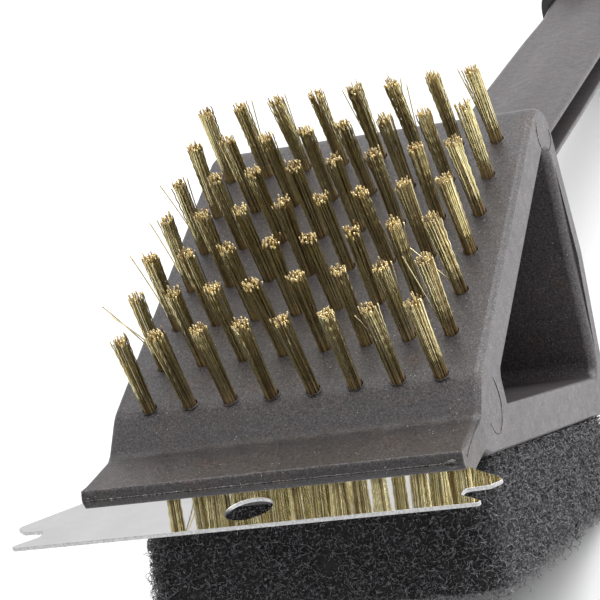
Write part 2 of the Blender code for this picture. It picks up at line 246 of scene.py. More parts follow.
def finish_hard(target, angle):
    """Tidy shading for a hard body: sharp where it turns, and flats kept flat."""
    merge = 2e-6
    collapse = 1e-6
    bm = bmesh.new()
    bm.from_mesh(target.data)
    bmesh.ops.remove_doubles(bm, verts=bm.verts, dist=merge)
    bmesh.ops.dissolve_degenerate(bm, edges=bm.edges, dist=collapse)
    bm.to_mesh(target.data)
    bm.free()
    target.data.shade_smooth()
    target.data.set_sharp_from_angle(angle=math.radians(angle))
    modifier = target.modifiers.new("flats", "WEIGHTED_NORMAL")
    modifier.mode = "FACE_AREA"
    modifier.weight = 100
    modifier.keep_sharp = True


def put(piece, surface, slot, *nodes):
    """Places a piece made in the tool frame, with what it rides on and stands for; its slot is not used."""
    piece.data.transform(TOOL)
    piece.data.materials.clear()
    for one in surface if isinstance(surface, list) else [surface]:
        piece.data.materials.append(one)
    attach(piece, "root")
    if nodes:
        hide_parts(*nodes)
    return piece


def rounded_outline(corners, steps):
    """A closed outline from (u, v, radius) corners, each arc drawn through steps + 1 points."""
    outline = []
    count = len(corners)
    for index, (u, v, radius) in enumerate(corners):
        corner = Vector((u, v))
        if radius == 0:
            outline.append(corner)
            continue
        before = (Vector(corners[index - 1][:2]) - corner).normalized()
        after = (Vector(corners[(index + 1) % count][:2]) - corner).normalized()
        half_angle = before.angle(after) / 2
        centre = corner + (before + after).normalized() * radius / math.sin(half_angle)
        start = corner + before * radius / math.tan(half_angle) - centre
        turn = start.angle_signed(corner + after * radius / math.tan(half_angle) - centre)
        for step in range(steps + 1):
            outline.append(centre + Matrix.Rotation(-turn * step / steps, 2) @ start)
    return outline


def outward(outline):
    """The unit normal out of a closed outline at each of its points."""
    after = outline[1:] + outline[:1]
    before = outline[-1:] + outline[:-1]
    area = sum(a.x * b.y - b.x * a.y for a, b in zip(outline, after))
    side = 1 if area > 0 else -1
    normals = []
    for last, here, following in zip(before, outline, after):
        ahead = (here - last).normalized() + (following - here).normalized()
        normals.append(Vector((ahead.y, -ahead.x)).normalized() * side)
    return normals


def circle(steps):
    """Angles evenly round a full circle."""
    return [2 * math.pi * step / steps for step in range(steps)]


def loft(rings, bm=None, round_again=False):
    """A skin over rings of points, capped at both ends or joined back to its first ring."""
    bm = bm or bmesh.new()
    loops = [[bm.verts.new(point) for point in ring] for ring in rings]
    for near, far in zip(loops, loops[1:] + loops[:1] if round_again else loops[1:]):
        for index in range(len(near)):
            after = (index + 1) % len(near)
            bm.faces.new((near[index], near[after], far[after], far[index]))
    if not round_again:
        bm.faces.new(loops[0])
        bm.faces.new(loops[-1])
    return bm


def box_loft(half_width, half_height, start, end):
    """A box round the y axis, from start to end."""
    corners = [(x * half_width, z * half_height) for x, z in SQUARE]
    return loft([[(x, y, z) for x, z in corners] for y in (start, end)])


def add_cylinder(bm, x, y, radius, low, high, segments):
    """An upright cylinder between two heights."""
    bmesh.ops.create_cone(
        bm, cap_ends=True, segments=segments, radius1=radius, radius2=radius, depth=high - low,
        matrix=Matrix.Translation((x, y, (low + high) / 2)),
    )


def tubes(paths, radii, sides):
    """Closed tubes along paths (tube, point, 3) of radii (tube, point): points, side quads, end caps."""
    count, steps, _ = paths.shape
    ahead = np.gradient(paths, axis=1)
    ahead /= np.linalg.norm(ahead, axis=2, keepdims=True)
    upright = np.abs(ahead[:, 0, 2:3]) < 0.8
    side = np.cross(ahead[:, 0], np.where(upright, [[0.0, 0.0, 1.0]], [[1.0, 0.0, 0.0]]))
    angles = 2 * math.pi * np.arange(sides) / sides
    cosine = np.cos(angles)[None, :, None]
    sine = np.sin(angles)[None, :, None]
    points = np.empty((count, steps, sides, 3))
    for step in range(steps):
        tangent = ahead[:, step]
        side = side - (side * tangent).sum(1)[:, None] * tangent
        side /= np.linalg.norm(side, axis=1, keepdims=True)
        other = np.cross(tangent, side)
        ring = side[:, None] * cosine + other[:, None] * sine
        points[:, step] = paths[:, step, None] + ring * radii[:, step, None, None]
    here = np.arange(sides)
    after = (here + 1) % sides
    first = (np.arange(count) * steps * sides)[:, None, None]
    rows = first + (np.arange(steps - 1) * sides)[None, :, None]
    quads = np.stack([rows + here, rows + after, rows + sides + after, rows + sides + here], axis=-1)
    low = first[:, :, 0] + here[::-1]
    high = first[:, :, 0] + (steps - 1) * sides + here
    return points.reshape(-1, 3), [quads.reshape(-1, 4), np.concatenate([low, high])]


# ---------------- materials

class Nodes:
    """Short names for building one material's node tree. Texture scales are per metre."""

    def __init__(self, name):
        self.material = bpy.data.materials.new(name)
        self.material.use_nodes = True
        self.tree = self.material.node_tree
        self.shader = self.tree.nodes["Principled BSDF"]
        self.place = self.node("TexCoord").outputs["Object"]

    def node(self, kind, **inputs):
        made = self.tree.nodes.new("ShaderNode" + kind)
        for name, value in inputs.items():
            self.put(made.inputs[name], value)
        return made

    def put(self, socket, value):
        if isinstance(value, bpy.types.NodeSocket):
            self.tree.links.new(value, socket)
        else:
            socket.default_value = value

    def mapped(self, scale, turn=(0, 0, 0)):
        return self.node("Mapping", Vector=self.place, Rotation=turn, Scale=scale).outputs["Vector"]

    def noise(self, scale, detail, rough, where=None):
        node = self.node("TexNoise", Vector=where or self.place, Scale=scale, Detail=detail, Roughness=rough)
        return node.outputs["Fac"]

    def cells(self, scale):
        return self.node("TexVoronoi", Vector=self.place, Scale=scale).outputs["Distance"]

    def ramp(self, value, *stops):
        """Colours or greys by value, from (value, colour or grey) stops."""
        node = self.node("ValToRGB", Fac=value)
        while len(node.color_ramp.elements) < len(stops):
            node.color_ramp.elements.new(0.5)
        for element, (position, colour) in zip(node.color_ramp.elements, stops):
            element.position = position
            element.color = colour if isinstance(colour, tuple) else (colour, colour, colour, 1)
        return node.outputs["Color"]

    def mix(self, share, first, second, kind="MIX"):
        node = self.node("Mix")
        node.data_type = "RGBA"
        node.blend_type = kind
        self.put(node.inputs["Factor"], share)
        self.put(node.inputs[6], first)
        self.put(node.inputs[7], second)
        return node.outputs[2]

    def times(self, tone, factor):
        return self.mix(1.0, tone, factor, "MULTIPLY")

    def maths(self, kind, first, second):
        node = self.node("Math")
        node.operation = kind
        self.put(node.inputs[0], first)
        self.put(node.inputs[1], second)
        return node.outputs[0]

    def along(self, axis):
        """The tool frame's own coordinate along one of its axes."""
        direction = (TOOL.to_3x3() @ Vector(axis)).normalized()
        node = self.node("VectorMath")
        node.operation = "DOT_PRODUCT"
        self.put(node.inputs[0], self.place)
        node.inputs[1].default_value = direction
        return self.maths("SUBTRACT", node.outputs["Value"], TOOL.translation.dot(direction))

    def bump(self, height, distance, strength, after=None):
        node = self.node("Bump", Strength=strength, Distance=distance, Height=height)
        if after is not None:
            self.put(node.inputs["Normal"], after)
        return node.outputs["Normal"]

    def finish(self, **sockets):
        for name, value in sockets.items():
            self.put(self.shader.inputs[name.replace("_", " ")], value)
        return self.material


LIP_TINT_REACH = 0.0300
# The lip's tint: painted shade on its front, a painted highlight along its top edge, brown dirt on its top,
# painted shade in the bend behind it, and a painted light band below the front row of tufts.
LIP_DIRT_AND_PAINTED_LIGHT = (  # (share of the reach from the lip's front, tint): painted shade, painted highlight, brown top, painted shade, painted light
    (0.020, (0.70, 0.69, 0.68, 1)),
    (0.028, (1.45, 1.43, 1.40, 1)),
    (0.045, (0.84, 0.80, 0.75, 1)),
    (0.25, (0.80, 0.76, 0.71, 1)),
    (0.50, (0.68, 0.65, 0.62, 1)),
    (0.58, 0.92),
    (0.72, (1.12, 1.12, 1.13, 1)),
    (1.00, 1.0),
)
TUFT_DUST = (  # (share of the tuft's free length, tint): brown dust low down, and duller cut ends
    (0.02, (0.46, 0.37, 0.32, 1)),
    (0.12, (0.62, 0.54, 0.47, 1)),
    (0.22, 1.0),
    (0.94, 1.0),
    (0.99, (0.72, 0.64, 0.58, 1)),
)
TUFT_DUST_UNEVEN = 0.16


def moulded_plastic(name, dark, light, dust, roughness):
    """Grained polypropylene: speckle, soft sink marks, brown smudges, brown dirt with painted shade and
    painted highlights round the lip, and dust specks.
    """
    n = Nodes(name)
    grain = n.noise(3000, 2.0, 0.6)
    tone = n.ramp(grain, (0.34, dark), (0.70, light))
    cloud = n.ramp(n.noise(38, 3.0, 0.5), (0.30, 0.86), (0.75, 1.12))
    tone = n.times(tone, cloud)
    mottle = n.ramp(n.noise(1500, 3.0, 0.65), (0.36, 0.72), (0.66, 1.30))
    tone = n.times(tone, mottle)
    smudge = n.ramp(n.noise(170, 3.0, 0.6), (0.55, 1.0), (0.72, (1.22, 1.05, 0.95, 1)))
    tone = n.times(tone, smudge)
    # Painted shade and painted highlights round the lip and its bend, with brown dirt on the lip's top, by
    # distance from the lip's front.
    from_lip = n.maths("SUBTRACT", n.along((0, 1, 0)), LIP_FRONT_Y)
    dirt_and_painted_light = n.ramp(n.maths("DIVIDE", from_lip, LIP_TINT_REACH), *LIP_DIRT_AND_PAINTED_LIGHT)
    tone = n.times(tone, dirt_and_painted_light)
    specks = n.ramp(n.cells(800), (0.070, 1.0), (0.110, 0.0))
    rare = n.ramp(n.noise(260, 1.0, 0.5), (0.46, 0.0), (0.58, 1.0))
    tone = n.mix(n.maths("MULTIPLY", specks, rare), tone, dust)
    rough = n.ramp(n.noise(420, 3.0, 0.6), (0.3, roughness - 0.05), (0.7, roughness + 0.07))
    sink = n.bump(n.noise(95, 2.0, 0.5), 0.00012, 0.55)
    fine = n.bump(grain, 0.00003, 0.85, after=sink)
    pebble = n.bump(n.noise(1300, 2.0, 0.5), 0.00003, 0.75, after=fine)
    return n.finish(Base_Color=tone, Roughness=rough, Normal=pebble)


def brass(name, low, middle, high, roughness):
    """Wire: streaks from wire to wire and along each, brown dust low down, and duller cut ends."""
    n = Nodes(name)
    turn = (-TOP_SLOPE - TOOL.to_euler().x, 0, 0)  # stands the tufts upright in the texture's space
    n.place = n.mapped((1, 1, 1), turn)
    strands = n.mapped((3000, 3000, 90))
    streak = n.noise(1.0, 2.0, 0.6, where=strands)
    tone = n.ramp(streak, (0.30, low), (0.50, middle), (0.70, high))
    stain = n.ramp(n.noise(260, 2.0, 0.5), (0.35, 0.80), (0.62, 1.0))
    tone = n.times(tone, stain)
    split = n.node("SeparateXYZ")
    n.put(split.inputs[0], n.place)
    plate_level = (Matrix.Rotation(turn[0], 3, "X") @ (TOOL @ FEET[0][3])).z
    above = n.maths("DIVIDE", n.maths("SUBTRACT", split.outputs["Z"], plate_level), TUFT_LENGTH)
    wander = n.maths("SUBTRACT", n.noise(900, 2.0, 0.6), 0.5)
    uneven = n.maths("ADD", above, n.maths("MULTIPLY", wander, TUFT_DUST_UNEVEN))
    dusty = n.ramp(uneven, *TUFT_DUST)
    tone = n.times(tone, dusty)
    rough = n.ramp(streak, (0.3, roughness + 0.08), (0.7, roughness))
    bare = n.ramp(uneven, (0.04, 0.35), (0.20, 1.0))
    return n.finish(Base_Color=tone, Roughness=rough, Metallic=bare)


def polished_steel():
    """The blade's two faces: a mirror with a faint cloud, rare pits and a slight wave."""
    n = Nodes("stainless_steel")
    cloud = n.ramp(n.noise(120, 3.0, 0.6), (0.35, 0.64), (0.7, 0.70))
    pits = n.ramp(n.cells(620), (0.030, 1.0), (0.060, 0.0))
    rare = n.ramp(n.noise(210, 1.0, 0.5), (0.56, 0.0), (0.62, 1.0))
    tone = n.mix(n.maths("MULTIPLY", pits, rare), cloud, (0.20, 0.19, 0.18, 1))
    rough = n.ramp(n.noise(900, 2.0, 0.6), (0.3, 0.020), (0.7, 0.045))
    wave = n.bump(n.noise(60, 1.0, 0.4), 0.00003, 0.25)
    return n.finish(Base_Color=tone, Roughness=rough, Normal=wave, Metallic=1.0)


def cut_steel():
    """The blade's stamped edge: duller, with fine marks across it."""
    n = Nodes("cut_steel_edge")
    marks = n.noise(2200, 2.0, 0.6)
    tone = n.ramp(marks, (0.3, 0.36), (0.7, 0.62))
    return n.finish(Base_Color=tone, Roughness=0.36, Metallic=1.0, Normal=n.bump(marks, 0.00004, 0.6))


def fibre(name, dark, light, roughness):
    """Nylon whose tone changes along each fibre."""
    n = Nodes(name)
    tone = n.ramp(n.noise(1500, 2.0, 0.6), (0.42, dark), (0.66, light))
    fine = n.bump(n.noise(4200, 1.0, 0.5), 0.00003, 0.5)
    return n.finish(Base_Color=tone, Roughness=roughness, Normal=fine)


def pale_floor():
    n = Nodes("pale_floor")
    low = (0.865, 0.867, 0.87, 1)
    high = (0.875, 0.877, 0.88, 1)
    return n.finish(Base_Color=n.ramp(n.noise(3.0, 2.0, 0.5), (0.3, low), (0.7, high)), Roughness=0.6)


PLASTIC = moulded_plastic(
    "black_plastic",
    dark=(0.026, 0.023, 0.0248, 1),
    light=(0.100, 0.090, 0.0945, 1),
    dust=(0.42, 0.40, 0.37, 1),
    roughness=0.40,
)
# The flash is paler than the black plastic: a painted highlight along the lip's lower edge.
FLASH_PAINTED_HIGHLIGHT = moulded_plastic(
    "plastic_flash_painted_highlight",
    dark=(0.07, 0.065, 0.065, 1),
    light=(0.26, 0.25, 0.24, 1),
    dust=(0.60, 0.58, 0.55, 1),
    roughness=0.45,
)
# Near-black witness lines: painted shade that stands in for the shade inside their grooves.
WITNESS_LINE_PAINTED_SHADE = moulded_plastic(
    "plastic_witness_line_painted_shade",
    dark=(0.006, 0.005, 0.005, 1),
    light=(0.020, 0.015, 0.014, 1),
    dust=(0.05, 0.04, 0.04, 1),
    roughness=0.55,
)
GRIP_PLASTIC = moulded_plastic(
    "grip_plastic",
    dark=(0.020, 0.019, 0.020, 1),
    light=(0.034, 0.032, 0.034, 1),
    dust=(0.16, 0.15, 0.15, 1),
    roughness=0.50,
)
STEEL = polished_steel()
EDGE_STEEL = cut_steel()
# The core is much darker than the fibres: painted shade for the gaps between them.
PAD_CORE_PAINTED_SHADE = fibre("pad_core", (0.0035, 0.0035, 0.0040, 1), (0.010, 0.010, 0.011, 1), 0.8)
# The fibres' pale tone is painted glints.
PAD_FIBRE_PAINTED_GLINTS = fibre("pad_fibre", (0.014, 0.0135, 0.015, 1), (0.30, 0.29, 0.31, 1), 0.14)


# ---------------- head and neck

def top_line(y):
    """The bristle plate's height."""
    return TOP_Z + y * math.tan(TOP_SLOPE)


def base_line(y):
    """The base plate's underside."""
    return BASE_Z - y * math.tan(BASE_SLOPE)


def tuft_feet():
    """(name, row, column, point on the plate) of every tuft, from its CAD node's box."""
    inverse = TOOL.inverted()
    for row in range(1, ROWS + 1):
        for column in range(1, COLUMNS + 1):
            name = f"tuft_row{row}_col{column}"
            low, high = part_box(name)
            middle = inverse @ ((low + high) / 2) - TUFT_AXIS * (TUFT_LENGTH - TUFT_ROOT) / 2
            # a tilted tuft's box is a little uneven, so the point is put back on the plate's face
            middle.z = top_line(middle.y)
            yield name, row, column, middle


FEET = list(tuft_feet())
# The second brass is a darker copy: painted shade, given to some wires to stand for the dark gaps between
# wires.
BRASS = [
    brass("brass_wire", (0.86, 0.71, 0.34, 1), (1.0, 0.90, 0.50, 1), (1.0, 0.97, 0.72, 1), 0.14),
    brass("brass_wire_painted_shade", (0.24, 0.17, 0.08, 1), (0.44, 0.34, 0.17, 1), (0.74, 0.60, 0.32, 1), 0.24),
]


def head_outline():
    """The head's side view, from (y, z, corner radius) corners."""
    bend_rise = math.tan(BEND_SLOPE)
    bend_top_y = (LIP_TOP_Z - BEND_Y * bend_rise - TOP_Z) / (math.tan(TOP_SLOPE) - bend_rise)
    apart = 0.0005  # close together, so that the side edge's rounding can fade towards the lip's edge
    near_lip = [(LIP_TOP_Y + step * apart, LIP_TOP_Z, 0) for step in (5, 4, 3, 2, 1)]
    return rounded_outline(
        [
            (LIP_TOP_Y, LIP_TOP_Z, 0.00035),
            (LIP_FRONT_Y, BLADE_Z + BLADE_T, 0),
            (LIP_FRONT_Y, LIP_BASE_Z, 0.0013),
            (NOSE_ROOT_Y, LIP_BASE_Z, 0.0012),
            (NOSE_Y, base_line(NOSE_Y), 0.0028),
            (REAR_Y, base_line(REAR_Y), 0.0050),
            (REAR_Y, top_line(REAR_Y), 0.0085),
            (bend_top_y, top_line(bend_top_y), 0.0090),
            (BEND_Y, LIP_TOP_Z, 0.0040),
        ]
        + near_lip,
        14,
    )


def drafted(x, z):
    """The mould's sides lean in away from the parting plane."""
    return math.copysign(abs(x) - DRAFT * abs(z), x)


def head_blank():
    """The head without its openings, cut along z = 0 so that its sides can lean in from there."""
    outline = head_outline()
    normals = outward(outline)
    lip_edge = Vector((LIP_TOP_Y, LIP_TOP_Z))
    lip_foot = Vector((LIP_FRONT_Y, LIP_BASE_Z))
    give = []  # how much the edge is rounded, which is less where the lip has no room for it
    for point in outline:
        from_edge = 0.0002 + 0.4 * (point - lip_edge).length
        from_foot = 0.0006 + 0.3 * (point - lip_foot).length
        give.append(min(EDGE_ROUND, from_edge, from_foot))
    rings = []
    steps = 5
    turns = [EDGE_TURN * step / steps for step in range(steps + 1)]
    for side, order in ((-1, turns[::-1]), (1, turns)):
        for turn in order:
            ring = []
            for point, normal, room in zip(outline, normals, give):
                inset = point - normal * room * (1 - math.cos(turn))
                x = side * (HALF_WIDTH - room * (math.sin(EDGE_TURN) - math.sin(turn)))
                ring.append((x, inset.x, inset.y))
            rings.append(ring)
    bm = loft(rings)
    whole = [*bm.verts, *bm.edges, *bm.faces]
    bmesh.ops.bisect_plane(bm, geom=whole, plane_co=(0, 0, 0), plane_no=(0, 0, 1))
    for vertex in bm.verts:
        vertex.co.x = drafted(vertex.co.x, vertex.co.z)
    return bm


def tunnel_cutter():
    """The triangular tunnel, opened out a little at both mouths, and more along its rear."""
    clear = 0.00004  # keeps the cutter's corners off the side faces
    front_top = TUNNEL_TOP_Z + TUNNEL_FRONT_Y * math.tan(TOP_SLOPE)
    rear_top = TUNNEL_TOP_Z + TUNNEL_REAR_Y * math.tan(TOP_SLOPE)
    front_base = TUNNEL_BASE_Z - TUNNEL_FRONT_Y * math.tan(BASE_SLOPE)
    rear_base = TUNNEL_BASE_Z - TUNNEL_REAR_Y * math.tan(BASE_SLOPE)
    outline = rounded_outline(
        [
            (TUNNEL_FRONT_Y, front_top, 0.0030),
            (TUNNEL_FRONT_Y, front_base, 0.0008),
            (TUNNEL_REAR_Y, rear_base, 0.0030),
            (TUNNEL_REAR_Y, rear_top, 0.0040),
        ],
        12,
    )
    normals = outward(outline)
    mouths = []
    for point in outline:
        rearward = min(1.0, max(0.0, (point.x - MOUTH_WIDENS_Y) / MOUTH_WIDENS_OVER))
        mouths.append(MOUTH_R + MOUTH_WIDER * rearward)
    steps = 8
    turns = [None]  # beyond the side face
    turns += [math.pi / 2 * (1 - step / steps) for step in range(steps + 1)]
    stations = [(-1, turn) for turn in turns] + [(1, turn) for turn in reversed(turns)]
    rings = []
    for side, turn in stations:
        ring = []
        for point, normal, mouth in zip(outline, normals, mouths):
            beyond = turn is None
            x = HALF_WIDTH + (PAST if beyond else clear - mouth * (1 - math.sin(turn)))
            out = point + normal * (mouth if beyond else mouth * (1 - math.cos(turn)))
            ring.append((drafted(side * x, out.y), out.x, out.y))
        rings.append(ring)
    return loft(rings)


def neck_section():
    """The I shape, with its corners rounded and two shallow grooves along each flange."""
    half = NECK_HALF
    high = NECK_HALF_H
    inner = high - FLANGE_T
    side = [
        (half, high, NECK_CORNER_R),
        (half, inner, FLANGE_EDGE_R),
        (WEB_HALF, inner - FLANGE_DROP, WEB_FILLET),
        (WEB_HALF, -inner + FLANGE_DROP, WEB_FILLET),
        (half, -inner, FLANGE_EDGE_R),
        (half, -high, NECK_CORNER_R),
    ]
    steps = 16
    short_of_corner = 0.0001
    across = [(half - NECK_CORNER_R - short_of_corner) * (1 - step / steps) for step in range(2 * steps + 1)]
    corners = side + [(x, -high, 0) for x in across]
    corners += [(-x, z, r) for x, z, r in reversed(side)] + [(-x, high, 0) for x in across]
    section = []
    for x, z in rounded_outline(corners, 8):
        groove = GROOVE_DEPTH * math.sin(math.pi * min(abs(x), GROOVE_END) / GROOVE_SPACING) ** 2
        near_face = max(0.0, 1 - (high - abs(z)) / FLANGE_T)
        section.append((x, z - math.copysign(groove * near_face, z)))
    return section


def smooth_between(y, places, values):
    """Values eased from one place to the next, averaged over 8 mm so that no kink shows."""
    spread = np.linspace(-0.004, 0.004, 9)
    return float(np.interp(y + spread, places, values).mean())


def neck_solid():
    """The neck from inside the rear wall to its end, by (distance past the wall, width, height) stations."""
    section = neck_section()
    stations = [(-NECK_SUNK, 1 + FLARE_WIDE, 1 + FLARE_HIGH)]
    steps = 8
    for step in range(steps + 1):
        share = step / steps
        ease = (1 - share) ** 2.2
        stations.append((FLARE_LENGTH * share, 1 + FLARE_WIDE * ease, 1 + FLARE_HIGH * ease))
    taper_y = [y for y, _ in NECK_TAPER]
    taper = [wide for _, wide in NECK_TAPER]
    for y in np.linspace(taper_y[0], taper_y[-1], 40):
        stations.append((y - REAR_Y, smooth_between(y, taper_y, taper), 1.0))
    return loft([[(x * wide, REAR_Y + past, z * high) for x, z in section] for past, wide, high in stations])


def plate_heading(angle):
    """A direction in the bristle plate."""
    return SIDEWAYS * math.cos(angle) + PLATE_ALONG * math.sin(angle)


def build_hole_burrs():
    """The low ragged burr round each hole: a flattened tube whose width and height follow three waves."""
    rng = np.random.default_rng(17)
    bm = bmesh.new()
    for _, _, _, foot in FEET:
        phase = rng.uniform(0, 2 * math.pi, 4)
        height = rng.uniform(0.00010, 0.00026)
        rings = []
        for angle in circle(30):
            wave = 0.5 + 0.28 * math.sin(angle + phase[0]) + 0.22 * math.sin(3 * angle + phase[1])
            wave += 0.16 * math.sin(7 * angle + phase[2]) + rng.uniform(-0.16, 0.16)
            burr = max(0.0, wave - 0.42)
            rise = height * burr * rng.uniform(0.5, 1.6) + 0.00001
            spread = 0.00012 + 0.00016 * burr
            middle = HOLE_R + 0.00010 + 0.00005 * math.sin(2 * angle + phase[3])
            away = plate_heading(angle)
            rings.append([
                foot + away * (middle + spread * math.cos(turn)) + TUFT_AXIS * rise * math.sin(turn)
                for turn in circle(8)
            ])
        loft(rings, bm, round_again=True)
    return put(object_from("hole_burrs", bm), PLASTIC, "black_plastic")


def hole_cutters():
    """The holes, each a little out of round."""
    rng = np.random.default_rng(11)
    out_of_round = 0.00007
    above_plate = 0.0015
    bm = bmesh.new()
    angles = circle(26)
    for _, _, _, foot in FEET:
        radii = HOLE_R + rng.uniform(-out_of_round, out_of_round, len(angles))
        rings = []
        for height in (-HOLE_DEPTH, above_plate):
            edge = [foot + plate_heading(angle) * radius for angle, radius in zip(angles, radii)]
            rings.append([spot + TUFT_AXIS * height for spot in edge])
        loft(rings, bm)
    return bm


def ridge(path, radius, rng, ragged):
    """A thin ragged line along a path: points and faces, closed at both ends."""
    size = radius * (1 + ragged * rng.uniform(-1, 1, (1, len(path))))
    size[0, 0] = size[0, -1] = radius * 0.4
    return tubes(np.array([path]), size, 7)


def joined(name, shapes):
    """One object from several (points, faces) shapes."""
    all_points = np.concatenate([points for points, _ in shapes])
    firsts = np.cumsum([0] + [len(points) for points, _ in shapes])
    side_faces, end_faces = (
        np.concatenate([faces[kind] + first for (_, faces), first in zip(shapes, firsts)])
        for kind in (0, 1)
    )
    return object_from_arrays(name, all_points, [side_faces, end_faces])


def side_mark(start, start_pull, end_pull, end):
    """A smooth line on the right side face, from (y, z) in mm: its ends, and what pulls it in between."""
    proud = 0.00001
    curve = interpolate_bezier(*[Vector((y, z, 0)) / 1000 for y, z in (start, start_pull, end_pull, end)], 26)
    return [(drafted(HALF_WIDTH, point.y) + proud, point.x, point.y) for point in curve]


def build_mould_marks():
    """The flash along the lip, with a knob at its right end, pale as a painted highlight, and witness lines
    on the side face, dark as painted shade in grooves.
    """
    rng = np.random.default_rng(29)
    flash_z = BLADE_Z + BLADE_T / 2 + 0.00011
    line = [
        (x, LIP_FRONT_Y - 0.00004 + rng.uniform(-0.00006, 0.00004), flash_z + rng.uniform(-0.00004, 0.00005))
        for x in np.linspace(-0.0390, 0.0388, 190)
    ]
    along = np.linspace(0, 1, 10)
    knob = [(0.0362 + 0.0023 * k, LIP_FRONT_Y - 0.0001, flash_z + 0.0001 + 0.0004 * k) for k in along]
    flash = joined("lip_flash", [ridge(line, 0.00013, rng, 0.6), ridge(knob, 0.00030, rng, 0.5)])
    put(flash, FLASH_PAINTED_HIGHLIGHT, "black_plastic")
    marks = (
        ((5.4, 5.4), (9.5, -2.5), (1.5, -10.0), (-3.0, -0.7)),
        ((88.8, 30.1), (89.7, 26.5), (86.0, 25.5), (82.1, 26.9)),
        ((82.1, 26.9), (78.5, 28.5), (78.0, 32.0), (80.7, 34.4)),
        ((-7.5, 2.7), (-12.5, 2.6), (-18.0, 1.9), (-21.5, 0.6)),
    )
    witness = joined("side_witness_lines", [ridge(side_mark(*mark), 0.00009, rng, 0.6) for mark in marks])
    put(witness, WITNESS_LINE_PAINTED_SHADE, "black_plastic")


def build_head():
    """The moulding with its tunnel, neck, tang, tuft holes, blade slot and the two pegs in the slot."""
    tang_overlap = 0.006
    peg_ends = 0.001  # how far they stay inside the lip's faces
    head = object_from("head_and_neck_looks", head_blank())
    boolean(head, object_from("tunnel", tunnel_cutter()), "DIFFERENCE")
    boolean(head, object_from("neck", neck_solid()), "UNION")
    tang = box_loft(TANG_HALF_W, TANG_HALF_H, NECK_END_Y - tang_overlap, TANG_END_Y)
    boolean(head, object_from("tang", tang), "UNION")
    boolean(head, object_from("holes", hole_cutters()), "DIFFERENCE")
    slot = box_loft(TANG_HALF + GAP, BLADE_T / 2 + SLOT_GAP, LIP_FRONT_Y - PAST, TANG_REAR_Y + GAP)
    bmesh.ops.translate(slot, verts=slot.verts, vec=(0, 0, BLADE_Z))
    boolean(head, object_from("slot", slot), "DIFFERENCE")
    pegs = bmesh.new()
    for side in (-1, 1):
        add_cylinder(pegs, side * PEG_X, PEG_Y, PEG_R, LIP_BASE_Z + peg_ends, LIP_TOP_Z - peg_ends, 20)
    boolean(head, object_from("pegs", pegs), "UNION")
    finish_hard(head, angle=38)
    return put(head, PLASTIC, "black_plastic", "head_and_neck")


# ---------------- scraper

def build_scraper():
    """The blade, from the (x, y, corner radius) corners of its right half: first its tang, then its fork."""
    shoulder_y = LIP_FRONT_Y - 0.00001
    right = rounded_outline(
        [
            (0, TANG_REAR_Y, 0),
            (TANG_HALF, TANG_REAR_Y, 0.0020),
            (TANG_HALF, shoulder_y, 0),
            (0.0388, shoulder_y, 0.0008),
            (0.0502, -0.0336, 0.0011),
            (0.0478, -0.0358, 0.0008),
            (0.0432, -0.0362, 0.0010),
            (0.0429, -0.0386, 0.0010),
            (0.0490, BLADE_FRONT_Y, 0.0007),
            (0, BLADE_FRONT_Y, 0),
        ],
        9,
    )
    outline = right + [Vector((-point.x, point.y)) for point in reversed(right[1:-1])]
    low = BLADE_Z - BLADE_T / 2
    rings = [[(point.x, point.y, z) for point in outline] for z in (low, low + BLADE_T)]
    blade = object_from("scraper_blade_looks", loft(rings))
    holes = bmesh.new()
    for side in (-1, 1):
        add_cylinder(holes, side * PEG_X, PEG_Y, PEG_R + GAP, -PAST, PAST, 24)
    add_cylinder(holes, 0, BLADE_HOLE_Y, BLADE_HOLE_R, -PAST, PAST, 72)
    boolean(blade, object_from("holes", holes), "DIFFERENCE")
    bevel = blade.modifiers.new("rounded", "BEVEL")
    bevel.width = 0.00011
    bevel.segments = 3
    bevel.limit_method = "ANGLE"
    bevel.angle_limit = math.radians(60)
    apply_modifiers(blade)
    finish_hard(blade, angle=38)
    put(blade, [STEEL, EDGE_STEEL], "stainless_steel", "scraper_blade")
    face_normal = TOOL.to_3x3() @ UP
    for polygon in blade.data.polygons:
        on_face = abs(polygon.normal.dot(face_normal)) > 0.93
        polygon.material_index = 0 if on_face else 1
    return blade


# ---------------- brass tufts

WIRE_R = 0.000140
WIRES = 46
WIRE_STEPS = 30
WIRE_SIDES = 5
WIRE_SUNK = 0.0030  # how far below the plate's face a wire starts
GOLDEN_ANGLE = 2.39996  # from each wire to the next, which packs them evenly
FLARE_MORE = 0.10  # how much more than in CAD a tuft spreads at its tip
EDGE_LEAN = 0.0009  # how far the first column leans inward at its tip
WILD = 0.07  # share of the wires that stand away from their tuft
SHADED_WIRE_SHARE = 0.30  # share of the wires given the darker brass, painted shade for the gaps between wires
TUFT_SHIFT = Vector((-0.00005, 0, 0)) - PLATE_ALONG * 0.00006  # sets each tuft to one side of its hole


def towards(angles):
    """Each wire's step of length 1 in its own direction: (x and y, wire, 1)."""
    return np.stack([np.cos(angles), np.sin(angles)])[:, :, None]


